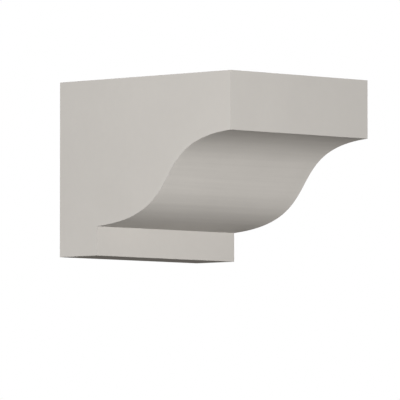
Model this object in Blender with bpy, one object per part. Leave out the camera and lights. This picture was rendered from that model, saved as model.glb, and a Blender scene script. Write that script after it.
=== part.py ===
"""A plain ogee bracket: one moulded solid that carries a shelf, a beam or an eave out from a wall.

Units are metres and +Z is up. The origin is the centre of the flat back face, which lies against the wall
in the plane Y = 0, and the bracket projects from it towards -Y. Seen from the side, a square cap on top
runs out to the front, a thicker back block runs down the wall, and a double curve, hollow above and
rounded below, sweeps from the cap's lower edge back to the face of the back block.
"""

import math

import bmesh
import bpy
from mathutils import Vector
from mathutils.geometry import interpolate_bezier

# Overall size
WIDTH = 0.2540
PROJECTION = 0.3127
HEIGHT = 0.2286

# Plain parts of the side view
CAP_HEIGHT = 0.0762
BACK_THICKNESS = 0.0699
FOOT_HEIGHT = 0.0381

# The double curve leaves the cap and meets the back block at this small slope, and its pulls say how far
# it follows each end, as shares of the distance that it runs back
CURVE_SLOPE = math.radians(3.64)
CAP_PULL = 0.645
FOOT_PULL = 0.712
CURVE_STEPS = 48

# Every arris is finely eased, and so is the inner corner under the curve
ARRIS_RADIUS = 0.0003
ARRIS_STEPS = 2
SHARPEST_CURVE_BEND = math.radians(30)

# Painted finish
PAINT_COLOUR = (0.55, 0.53, 0.495, 1.0)
PAINT_ROUGHNESS = 0.55


def clear_scene():
    """Removes whatever the scene holds."""
    for obj in list(bpy.data.objects):
        bpy.data.objects.remove(obj)


def paint_material():
    """The matt warm grey coat that covers the whole bracket."""
    material = bpy.data.materials.new("warm_grey_paint")
    material.use_nodes = True
    shader = material.node_tree.nodes["Principled BSDF"]
    shader.inputs["Base Color"].default_value = PAINT_COLOUR
    shader.inputs["Roughness"].default_value = PAINT_ROUGHNESS
    shader.inputs["Metallic"].default_value = 0.0
    material.diffuse_color = PAINT_COLOUR
    return material


def double_curve(lip, heel):
    """Points of the double curve from the lip of the cap back to the heel at the back block."""
    run = heel.y - lip.y
    rearward = Vector((0, math.cos(CURVE_SLOPE), -math.sin(CURVE_SLOPE)))
    lip_handle = lip + CAP_PULL * run * rearward
    heel_handle = heel - FOOT_PULL * run * rearward
    return interpolate_bezier(lip, lip_handle, heel_handle, heel, CURVE_STEPS + 1)


def side_outline():
    """Corners and curve points of the side view, going round from the top of the back face."""
    top = HEIGHT / 2
    underside = -HEIGHT / 2
    lip = Vector((0, -PROJECTION, top - CAP_HEIGHT))
    heel = Vector((0, -BACK_THICKNESS, underside + FOOT_HEIGHT))
    back_top = Vector((0, 0, top))
    front_top = Vector((0, -PROJECTION, top))
    foot_front = Vector((0, -BACK_THICKNESS, underside))
    foot_back = Vector((0, 0, underside))
    return [back_top, front_top, *double_curve(lip, heel), foot_front, foot_back]


def bracket_mesh():
    """The side view drawn on one flank and pushed across the width to the other."""
    to_left_flank = Vector((-WIDTH / 2, 0, 0))
    across = Vector((WIDTH, 0, 0))
    mesh = bpy.data.meshes.new("ogee_bracket")
    bm = bmesh.new()
    flank = bm.faces.new([bm.verts.new(point + to_left_flank) for point in side_outline()])
    pushed = bmesh.ops.extrude_face_region(bm, geom=[flank])
    far_verts = [item for item in pushed["geom"] if isinstance(item, bmesh.types.BMVert)]
    bmesh.ops.translate(bm, verts=far_verts, vec=across)
    bmesh.ops.recalc_face_normals(bm, faces=bm.faces)
    bm.to_mesh(mesh)
    bm.free()
    return mesh


def ease_arrises(obj):
    """Rounds every hard edge, and leaves the curve's own shallow facets alone."""
    bevel = obj.modifiers.new("eased_arrises", "BEVEL")
    bevel.limit_method = "ANGLE"
    bevel.angle_limit = SHARPEST_CURVE_BEND
    bevel.width = ARRIS_RADIUS
    bevel.segments = ARRIS_STEPS
    bevel.use_clamp_overlap = True


def build_bracket():
    """The whole bracket, one solid in one object."""
    bracket = bpy.data.objects.new("ogee_bracket", bracket_mesh())
    bpy.context.scene.collection.objects.link(bracket)
    bracket.data.materials.append(paint_material())
    ease_arrises(bracket)
    bracket.data.shade_smooth()
    bracket.data.set_sharp_from_angle(angle=SHARPEST_CURVE_BEND)
    return bracket


clear_scene()
build_bracket()
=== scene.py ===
import math

import bmesh
import bpy
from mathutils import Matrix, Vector
from mathutils.geometry import interpolate_bezier
from mathutils.kdtree import KDTree


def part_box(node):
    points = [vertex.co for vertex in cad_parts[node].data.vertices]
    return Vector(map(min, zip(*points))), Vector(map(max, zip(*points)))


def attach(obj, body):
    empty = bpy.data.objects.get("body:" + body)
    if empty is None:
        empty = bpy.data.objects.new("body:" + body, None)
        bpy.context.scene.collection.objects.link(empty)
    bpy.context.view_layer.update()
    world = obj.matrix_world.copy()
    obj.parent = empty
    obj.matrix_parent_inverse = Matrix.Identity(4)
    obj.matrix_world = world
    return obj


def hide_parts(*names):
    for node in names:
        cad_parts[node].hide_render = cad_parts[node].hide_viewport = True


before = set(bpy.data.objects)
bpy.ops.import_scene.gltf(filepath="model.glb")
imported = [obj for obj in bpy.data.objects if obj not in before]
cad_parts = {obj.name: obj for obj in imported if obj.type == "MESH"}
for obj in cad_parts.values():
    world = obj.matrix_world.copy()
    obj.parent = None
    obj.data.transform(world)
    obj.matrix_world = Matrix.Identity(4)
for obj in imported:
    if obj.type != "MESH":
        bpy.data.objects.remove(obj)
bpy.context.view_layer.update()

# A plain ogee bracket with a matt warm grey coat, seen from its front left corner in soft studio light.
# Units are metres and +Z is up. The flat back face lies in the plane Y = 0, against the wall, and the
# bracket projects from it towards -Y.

BODY = "root"
NODE = "ogee_bracket"

# The outer planes of the bracket are those of its solid
LOW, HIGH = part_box(NODE)
LEFT, FRONT, UNDERSIDE = LOW
RIGHT, BACK, TOP = HIGH
CENTRE = (LOW + HIGH) / 2

# Plain parts of the side view
CAP_HEIGHT = 0.0762
BACK_THICKNESS = 0.0699
FOOT_HEIGHT = 0.0381

# The double curve leaves the cap and meets the back block at this small slope, and its pulls say how far
# it follows each end, as shares of the distance that it runs back
CURVE_SLOPE = math.radians(3.64)
CAP_PULL = 0.645
FOOT_PULL = 0.712
CURVE_STEPS = 150

# Every outer arris is finely eased, and the inner corner under the curve stays crisp
ARRIS_RADIUS = 0.0003
ARRIS_STEPS = 3
ROUND_PROFILE = 0.5
SHARPEST_CURVE_BEND = math.radians(30)
SHARPEST_SMOOTH_BEND = math.radians(50)

# The faces are cut into cells of about this size, and points closer than the merge distance to a cutting
# plane count as on it
CELL = 0.005
MERGE_DISTANCE = 1e-6

# Askew to every face and edge, so that no two places rank alike along it
SORTING_DIRECTION = Vector((1.0, 0.6180, 0.3819))

# Full weight for large faces where normals are averaged, so that the flat faces stay flat
LARGE_FACE_WEIGHT = 100

# The coat thins towards an arris over the first distance, and painted shade darkens the inner corner under
# the curve over the second one
THIN_COAT_REACH = 0.006
CORNER_SHADE_REACH = 0.045

# A face of the curve looks down at least this much and sideways at most this much, and the back face looks
# rearward at least this much, as parts of its normal
CURVE_DOWN = -0.05
CURVE_SIDEWAYS = 0.5
BACK_REARWARD = 0.99

# Colour of the coat, and of the slightly paler coat that is worn thin towards the arrises. The wear is
# ragged: from place to place it shows between these shares of itself.
COAT_COLOUR = (0.5477, 0.5233, 0.4906, 1.0)
WORN_COLOUR = (0.5610, 0.5360, 0.5030, 1.0)
WORN_SHARES = (0.5, 1.0)

# Changes of tone: the first two are factors, and the others are added to 1. The arrises are darkened with
# painted shade that cancels the highlight the lights put on them, so that they don't stand out from the
# faces beside them.
BROAD_TONES = (0.984, 1.016)
FINE_TONES = (0.993, 1.007)
LINE_TONES = (-0.028, 0.028)
# Painted shade in the inner corner under the curve, darkest at the heel
INNER_CORNER_PAINTED_SHADE = -0.12
ARRIS_PAINTED_SHADE = -0.21

# Sheen of the coat, and the changes of its roughness in patches, where it is worn and on the back
COAT_ROUGHNESS = 0.64
COAT_GLOSS = 0.35
DIFFUSE_ROUGHNESS = 0.1
PATCH_ROUGHNESS = (-0.03, 0.03)
WORN_ROUGHNESS = -0.06
BACK_ROUGHNESS = 0.14

# Relief of the coat
SWELL_DEPTH = 0.00004
LINE_DEPTH = 0.0002
PEEL_DEPTH = 0.00004

# Noise patterns: the grain is about the size of a lump in metres. The lines are drawn out across the width.
BROAD_CLOUDS = {"grain": 0.075, "detail": 3}
FINE_CLOUDS = {"grain": 0.009, "detail": 4, "roughness": 0.6}
CURVE_LINES = {"grain": 0.0045, "detail": 3}
LINE_STRETCH = (0.015, 0.3, 1.0)
RAGGED_WEAR = {"grain": 0.003}
SHEEN_PATCHES = {"grain": 0.028, "detail": 3}
SWELL = {"grain": 0.016, "detail": 1}
ORANGE_PEEL = {"grain": 0.0014}

# Most of the noise lies between these values
NOISE_START = 0.3
NOISE_END = 0.7

# Camera, on a long lens a little below the bracket
CAMERA_PLACE = Vector((-5.6952, -5.7749, -0.4770))
CAMERA_YAW = math.radians(45.263)
CAMERA_PITCH = math.radians(3.1229)
LENS_MM = 553.8
SENSOR_MM = 36.0

# Studio softboxes: each has a name, a colour, an azimuth and an elevation in degrees, a distance, a width
# and height, and its watts. Azimuths go round from the front of the bracket towards its right.
NEUTRAL = (1.0, 1.0, 1.0)
WARM = (1.0, 0.952, 0.888)
SLIGHTLY_COOL = (0.97, 0.99, 1.0)
STUDIO_LIGHTS = (
    ("key_right", NEUTRAL, 332, -1, 10, (1.4, 0.5), 500),
    ("key_left", NEUTRAL, 302, -1, 3.5, (1.4, 0.5), 87),
    ("right_fill", NEUTRAL, 75, 0, 10, (4.8, 1.2), 165),
    ("low_right", WARM, 90, -38, 10, (5.0, 2.5), 218),
    ("low_back", WARM, 180, -24, 5, (2.0, 1.0), 13),
    ("right_side", SLIGHTLY_COOL, 105, 10, 5, (2.4, 2.4), 100),
    ("back_right", NEUTRAL, 165, 10, 5, (2.4, 2.4), 64),
    ("back_left", NEUTRAL, 195, 10, 5, (2.4, 2.4), 86),
    ("top", NEUTRAL, 0, 89.9, 5, (1.2, 1.2), 225),
)
AMBIENT_COLOUR = (1.0, 0.95, 0.89, 1.0)
AMBIENT_STRENGTH = 0.03
BACKDROP_COLOUR = (1.0, 1.0, 1.0, 1.0)
BACKDROP_STRENGTH = 1.0

# Floor, low enough to stay out of the photographed view. It glows a little, so that it stays pale.
FLOOR_LEVEL = -0.75
FLOOR_RADIUS = 12.0
FLOOR_FADE_START = 5.0
FLOOR_SIDES = 96
FLOOR_COLOUR = (0.26, 0.258, 0.255, 1.0)
FLOOR_GLOW = (0.74, 0.737, 0.73, 1.0)
FLOOR_GLOW_STRENGTH = 1.0


def double_curve():
    """Points of the double curve from the lip of the cap back to the heel at the back block."""
    lip = Vector((LEFT, FRONT, TOP - CAP_HEIGHT))
    heel = Vector((LEFT, BACK - BACK_THICKNESS, UNDERSIDE + FOOT_HEIGHT))
    run = heel.y - lip.y
    rearward = Vector((0, math.cos(CURVE_SLOPE), -math.sin(CURVE_SLOPE)))
    lip_handle = lip + CAP_PULL * run * rearward
    heel_handle = heel - FOOT_PULL * run * rearward
    return interpolate_bezier(lip, lip_handle, heel_handle, heel, CURVE_STEPS + 1)


def side_outline():
    """Corners and curve points of the left flank, going round from the top of the back face."""
    back_top = Vector((LEFT, BACK, TOP))
    front_top = Vector((LEFT, FRONT, TOP))
    foot_front = Vector((LEFT, BACK - BACK_THICKNESS, UNDERSIDE))
    foot_back = Vector((LEFT, BACK, UNDERSIDE))
    return [back_top, front_top, *double_curve(), foot_front, foot_back]


def extrude_flank(bm):
    """Draws the side view on the left flank and pushes it across the width to the right one."""
    flank = bm.faces.new([bm.verts.new(point) for point in side_outline()])
    pushed = bmesh.ops.extrude_face_region(bm, geom=[flank])
    far_verts = [item for item in pushed["geom"] if isinstance(item, bmesh.types.BMVert)]
    bmesh.ops.translate(bm, verts=far_verts, vec=Vector((RIGHT - LEFT, 0, 0)))
    bmesh.ops.recalc_face_normals(bm, faces=bm.faces)


def ease_arrises(bm):
    """Rounds every hard outer edge, stores 1 on the faces that this makes and returns their corners."""
    on_arris = bm.faces.layers.float.new("arris")
    arrises = [edge for edge in bm.edges if edge.calc_face_angle_signed() > SHARPEST_CURVE_BEND]
    rounded = bmesh.ops.bevel(
        bm,
        geom=arrises,
        offset=ARRIS_RADIUS,
        offset_type="OFFSET",
        segments=ARRIS_STEPS,
        profile=ROUND_PROFILE,
        affect="EDGES",
        clamp_overlap=True,
    )
    for face in rounded["faces"]:
        face[on_arris] = 1.0
    return [vert.co.copy() for vert in rounded["verts"]]


def cut_into_cells(bm):
    """Cuts the bracket along evenly spaced planes across each axis, so that its faces are small."""
    for axis in range(3):
        size = HIGH[axis] - LOW[axis]
        cells = round(size / CELL)
        direction = Vector((0, 0, 0))
        direction[axis] = 1
        for step in range(1, cells):
            place = direction * (LOW[axis] + size * step / cells)
            geometry = [*bm.verts, *bm.edges, *bm.faces]
            bmesh.ops.bisect_plane(
                bm, geom=geometry, dist=MERGE_DISTANCE, plane_co=place, plane_no=direction
            )


def sort_by_place(bm):
    """Orders points, edges and faces by where they are, so that each run lists them alike."""

    def rank(corners):
        return sum((corner.co for corner in corners), Vector()).dot(SORTING_DIRECTION) / len(corners)

    bm.verts.sort(key=lambda vert: rank([vert]))
    bm.edges.sort(key=lambda edge: rank(edge.verts))
    bm.faces.sort(key=lambda face: rank(face.verts))


def add_point_values(mesh, name, value_at):
    """Stores on the mesh, under this name, what the function gives for each point."""
    values = mesh.attributes.new(name, "FLOAT", "POINT")
    values.data.foreach_set("value", [value_at(vertex) for vertex in mesh.vertices])


def add_face_values(mesh, name, value_at):
    """Stores on the mesh, under this name, what the function gives for each face."""
    values = mesh.attributes.new(name, "FLOAT", "FACE")
    values.data.foreach_set("value", [value_at(face) for face in mesh.polygons])


def mark_thin_coat(mesh, arris_places):
    """Stores how near each point is to an arris, from 1 on it to 0 beyond the reach of the thin coat."""
    tree = KDTree(len(arris_places))
    for index, place in enumerate(arris_places):
        tree.insert(place, index)
    tree.balance()

    def nearness(vertex):
        _, _, away = tree.find(vertex.co)
        return max(0.0, 1.0 - away / THIN_COAT_REACH)

    add_point_values(mesh, "thin_coat", nearness)


def mark_inner_corner(mesh):
    """Stores how near each point is to the inner corner at the heel, from 1 in it to 0 beyond the reach of
    the painted shade.
    """
    heel = Vector((0, BACK - BACK_THICKNESS, UNDERSIDE + FOOT_HEIGHT))

    def nearness(vertex):
        away = (Vector((0, vertex.co.y, vertex.co.z)) - heel).length
        return max(0.0, 1.0 - away / CORNER_SHADE_REACH)

    add_point_values(mesh, "inner_corner", nearness)


def mark_curve(mesh):
    """Stores 1 on the double curve and 0 on every flat face."""
    lowest = UNDERSIDE + FOOT_HEIGHT
    highest = TOP - CAP_HEIGHT

    def on_curve(face):
        looks_down = face.normal.z < CURVE_DOWN and abs(face.normal.x) < CURVE_SIDEWAYS
        return float(looks_down and lowest < face.center.z < highest)

    add_face_values(mesh, "curve", on_curve)


def mark_back(mesh):
    """Stores 1 on the back face and 0 elsewhere."""
    add_face_values(mesh, "back", lambda face: float(face.normal.y > BACK_REARWARD))


def build_moulding():
    """The whole bracket as one closed mesh."""
    mesh = bpy.data.meshes.new("moulded_bracket")
    bm = bmesh.new()
    extrude_flank(bm)
    arris_places = ease_arrises(bm)
    cut_into_cells(bm)
    sort_by_place(bm)
    bm.to_mesh(mesh)
    bm.free()
    mark_thin_coat(mesh, arris_places)
    mark_curve(mesh)
    mark_inner_corner(mesh)
    mark_back(mesh)
    mesh.shade_smooth()
    mesh.set_sharp_from_angle(angle=SHARPEST_SMOOTH_BEND)
    moulding = bpy.data.objects.new("moulded_bracket", mesh)
    bpy.context.scene.collection.objects.link(moulding)
    flat_faces = moulding.modifiers.new("flat_faces", "WEIGHTED_NORMAL")
    flat_faces.weight = LARGE_FACE_WEIGHT
    flat_faces.keep_sharp = True
    return moulding


class NodeBuilder:
    """Adds shader nodes to a material, each with its settings and its links in one call."""

    # Sockets of the mix node that carry its share and its colours
    MIX_SHARE = 0
    MIX_FIRST_COLOUR = 6
    MIX_SECOND_COLOUR = 7
    MIX_RESULT_COLOUR = 2

    def __init__(self, tree):
        self.tree = tree

    def add(self, kind, settings=None, **inputs):
        """A node of this kind. An input is a value, or another node's output to link."""
        node = self.tree.nodes.new(kind)
        for name, value in (settings or {}).items():
            setattr(node, name, value)
        for name, value in inputs.items():
            self.put(node.inputs[name], value)
        return node

    def put(self, socket, value):
        """Links an output to this input, or sets its value."""
        if isinstance(value, bpy.types.NodeSocket):
            self.tree.links.new(value, socket)
        else:
            socket.default_value = value

    def noise(self, place, grain, detail=2.0, roughness=0.5):
        """Noise whose lumps are about as large as the grain, in metres."""
        node = self.add(
            "ShaderNodeTexNoise", Vector=place, Scale=1 / grain, Detail=detail, Roughness=roughness
        )
        return node.outputs["Fac"]

    def remap(self, value, low, high, start=NOISE_START, end=NOISE_END):
        """The value, stretched so that start becomes low and end becomes high."""
        node = self.add("ShaderNodeMapRange", Value=value)
        self.put(node.inputs["From Min"], start)
        self.put(node.inputs["From Max"], end)
        self.put(node.inputs["To Min"], low)
        self.put(node.inputs["To Max"], high)
        return node.outputs["Result"]

    def math(self, operation, first, second):
        """One sum on two values."""
        node = self.add("ShaderNodeMath", {"operation": operation})
        self.put(node.inputs[0], first)
        self.put(node.inputs[1], second)
        return node.outputs["Value"]

    def mesh_value(self, name):
        """A value that the mesh stores at its points or on its faces."""
        return self.add("ShaderNodeAttribute", {"attribute_name": name}).outputs["Fac"]

    def mix_colours(self, share, first, second):
        """The first colour turning into the second as the share goes from 0 to 1."""
        node = self.add("ShaderNodeMix", {"data_type": "RGBA"})
        self.put(node.inputs[self.MIX_SHARE], share)
        self.put(node.inputs[self.MIX_FIRST_COLOUR], first)
        self.put(node.inputs[self.MIX_SECOND_COLOUR], second)
        return node.outputs[self.MIX_RESULT_COLOUR]

    def scale_colour(self, colour, factor):
        """The colour made lighter or darker by a factor."""
        node = self.add("ShaderNodeVectorMath", {"operation": "SCALE"}, Scale=factor)
        self.put(node.inputs[0], colour)
        return node.outputs["Vector"]

    def mix_shaders(self, share, first, second):
        """The first shader turning into the second as the share goes from 0 to 1."""
        node = self.add("ShaderNodeMixShader", Fac=share)
        self.put(node.inputs[1], first)
        self.put(node.inputs[2], second)
        return node.outputs["Shader"]

    def bump(self, height, depth, under=None):
        """A relief of this depth in metres, on top of another one."""
        node = self.add("ShaderNodeBump", Height=height, Distance=depth, Strength=1.0)
        if under is not None:
            self.put(node.inputs["Normal"], under)
        return node.outputs["Normal"]


def curve_lines(build, place):
    """Fine lines that run across the width, as the pattern for the mould leaves them on the curve."""
    stretched = build.add("ShaderNodeMapping", Vector=place, Scale=LINE_STRETCH)
    return build.noise(stretched.outputs["Vector"], **CURVE_LINES)


def curve_tone(build, place):
    """Change of tone on the curve: fine lines, and painted shade that darkens the inner corner."""
    lines = build.remap(curve_lines(build, place), *LINE_TONES)
    # Painted shade: the curve darkens towards the inner corner at the heel
    corner_shade = build.math("MULTIPLY", build.mesh_value("inner_corner"), INNER_CORNER_PAINTED_SHADE)
    return build.math("MULTIPLY", build.math("ADD", lines, corner_shade), build.mesh_value("curve"))


def coat_colour(build, place):
    """Grey with broad and fine clouding, paler where it is worn thin, and with painted shade on the arrises
    to cancel their highlight.
    """
    broad = build.remap(build.noise(place, **BROAD_CLOUDS), *BROAD_TONES)
    fine = build.remap(build.noise(place, **FINE_CLOUDS), *FINE_TONES)
    # Painted shade on the arrises, dark enough to cancel the highlight that the lights put on them
    arris_shade = build.math("MULTIPLY", build.mesh_value("arris"), ARRIS_PAINTED_SHADE)
    local = build.math("ADD", build.math("ADD", curve_tone(build, place), arris_shade), 1.0)
    tone = build.math("MULTIPLY", build.math("MULTIPLY", broad, fine), local)
    ragged = build.remap(build.noise(place, **RAGGED_WEAR), *WORN_SHARES)
    worn = build.math("MULTIPLY", build.mesh_value("thin_coat"), ragged)
    colour = build.mix_colours(worn, COAT_COLOUR, WORN_COLOUR)
    return build.scale_colour(colour, tone)


def coat_roughness(build, place):
    """Matt, uneven in patches, smoother where it is worn and rougher on the bare cast back."""
    patches = build.remap(build.noise(place, **SHEEN_PATCHES), *PATCH_ROUGHNESS)
    rubbed = build.math("MULTIPLY", build.mesh_value("thin_coat"), WORN_ROUGHNESS)
    rough_back = build.math("MULTIPLY", build.mesh_value("back"), BACK_ROUGHNESS)
    changes = build.math("ADD", patches, build.math("ADD", rubbed, rough_back))
    return build.math("ADD", changes, COAT_ROUGHNESS)


def coat_relief(build, place):
    """Sprayed orange peel over the soft swell of a moulded skin, with faint lines along the curve."""
    swell = build.bump(build.noise(place, **SWELL), SWELL_DEPTH)
    on_curve = build.math("MULTIPLY", curve_lines(build, place), build.mesh_value("curve"))
    lines = build.bump(on_curve, LINE_DEPTH, swell)
    return build.bump(build.noise(place, **ORANGE_PEEL), PEEL_DEPTH, lines)


def coat_material():
    """The matt warm grey coat that covers the whole bracket."""
    material = bpy.data.materials.new("matt_grey_coat")
    material.use_nodes = True
    build = NodeBuilder(material.node_tree)
    shader = material.node_tree.nodes["Principled BSDF"]
    place = build.add("ShaderNodeTexCoord").outputs["Object"]
    build.put(shader.inputs["Base Color"], coat_colour(build, place))
    build.put(shader.inputs["Roughness"], coat_roughness(build, place))
    build.put(shader.inputs["Normal"], coat_relief(build, place))
    shader.inputs["Diffuse Roughness"].default_value = DIFFUSE_ROUGHNESS
    shader.inputs["Specular IOR Level"].default_value = COAT_GLOSS
    return material


def dress_bracket():
    """The finished bracket, in place of the plain solid."""
    moulding = build_moulding()
    moulding.data.materials.append(coat_material())
    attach(moulding, BODY)
    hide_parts(NODE)


def floor_material():
    """Plain and pale, fading out towards the rim, and clear when seen from below."""
    material = bpy.data.materials.new("studio_floor")
    material.use_nodes = True
    tree = material.node_tree
    tree.nodes.remove(tree.nodes["Principled BSDF"])
    build = NodeBuilder(tree)
    place = build.add("ShaderNodeTexCoord").outputs["Object"]
    distance = build.add("ShaderNodeVectorMath", {"operation": "LENGTH"}, Vector=place).outputs["Value"]
    faded = build.remap(distance, 0.0, 1.0, FLOOR_FADE_START, FLOOR_RADIUS)
    below = build.add("ShaderNodeNewGeometry").outputs["Backfacing"]
    clear = build.math("MAXIMUM", faded, below)
    paint = build.add("ShaderNodeBsdfDiffuse", Color=FLOOR_COLOUR).outputs["BSDF"]
    glow = build.add("ShaderNodeEmission", Color=FLOOR_GLOW, Strength=FLOOR_GLOW_STRENGTH)
    pale = build.add("ShaderNodeAddShader")
    build.put(pale.inputs[0], paint)
    build.put(pale.inputs[1], glow.outputs["Emission"])
    nothing = build.add("ShaderNodeBsdfTransparent").outputs["BSDF"]
    surface = build.mix_shaders(clear, pale.outputs["Shader"], nothing)
    build.put(tree.nodes["Material Output"].inputs["Surface"], surface)
    return material


def build_floor():
    """A wide round floor that takes light and shadow but sends none back to the bracket."""
    mesh = bpy.data.meshes.new("studio_floor")
    bm = bmesh.new()
    bmesh.ops.create_circle(bm, cap_ends=True, segments=FLOOR_SIDES, radius=FLOOR_RADIUS)
    bm.to_mesh(mesh)
    bm.free()
    floor = bpy.data.objects.new("studio_floor", mesh)
    floor.location.z = FLOOR_LEVEL
    bpy.context.scene.collection.objects.link(floor)
    mesh.materials.append(floor_material())
    floor.visible_diffuse = False
    floor.visible_glossy = False
    floor.visible_shadow = False


def direction_from(azimuth, elevation):
    """Unit vector from the bracket, with both angles in degrees."""
    turn = math.radians(azimuth)
    rise = math.radians(elevation)
    return Vector((math.sin(turn) * math.cos(rise), -math.cos(turn) * math.cos(rise), math.sin(rise)))


def add_softbox(name, colour, azimuth, elevation, distance, size, watts):
    """A soft light that faces the middle of the bracket."""
    light = bpy.data.lights.new(name, "AREA")
    light.shape = "RECTANGLE"
    light.size, light.size_y = size
    light.energy = watts
    light.color = colour
    softbox = bpy.data.objects.new(name, light)
    towards = direction_from(azimuth, elevation)
    softbox.location = CENTRE + towards * distance
    softbox.rotation_euler = towards.to_track_quat("Z", "Y").to_euler()
    softbox.visible_camera = False
    bpy.context.scene.collection.objects.link(softbox)


def light_world():
    """A white backdrop for the eye, and a dim even light for the bracket."""
    world = bpy.data.worlds.new("studio")
    world.use_nodes = True
    tree = world.node_tree
    tree.nodes.remove(tree.nodes["Background"])
    build = NodeBuilder(tree)
    seen = build.add("ShaderNodeLightPath").outputs["Is Camera Ray"]
    ambient = build.add("ShaderNodeBackground", Color=AMBIENT_COLOUR, Strength=AMBIENT_STRENGTH)
    backdrop = build.add("ShaderNodeBackground", Color=BACKDROP_COLOUR, Strength=BACKDROP_STRENGTH)
    surface = build.mix_shaders(seen, ambient.outputs["Background"], backdrop.outputs["Background"])
    build.put(tree.nodes["World Output"].inputs["Surface"], surface)
    bpy.context.scene.world = world


def add_camera():
    """The photographed view: a long lens, a little below the bracket and turned a little up."""
    camera = bpy.data.cameras.new("camera")
    camera.lens = LENS_MM
    camera.sensor_width = SENSOR_MM
    view = bpy.data.objects.new("camera", camera)
    view.location = CAMERA_PLACE
    view.rotation_euler = (math.pi / 2 + CAMERA_PITCH, 0, -CAMERA_YAW)
    bpy.context.scene.collection.objects.link(view)
    bpy.context.scene.camera = view


dress_bracket()
build_floor()
for studio_light in STUDIO_LIGHTS:
    add_softbox(*studio_light)
light_world()
add_camera()
bpy.context.scene.view_settings.view_transform = "Standard"
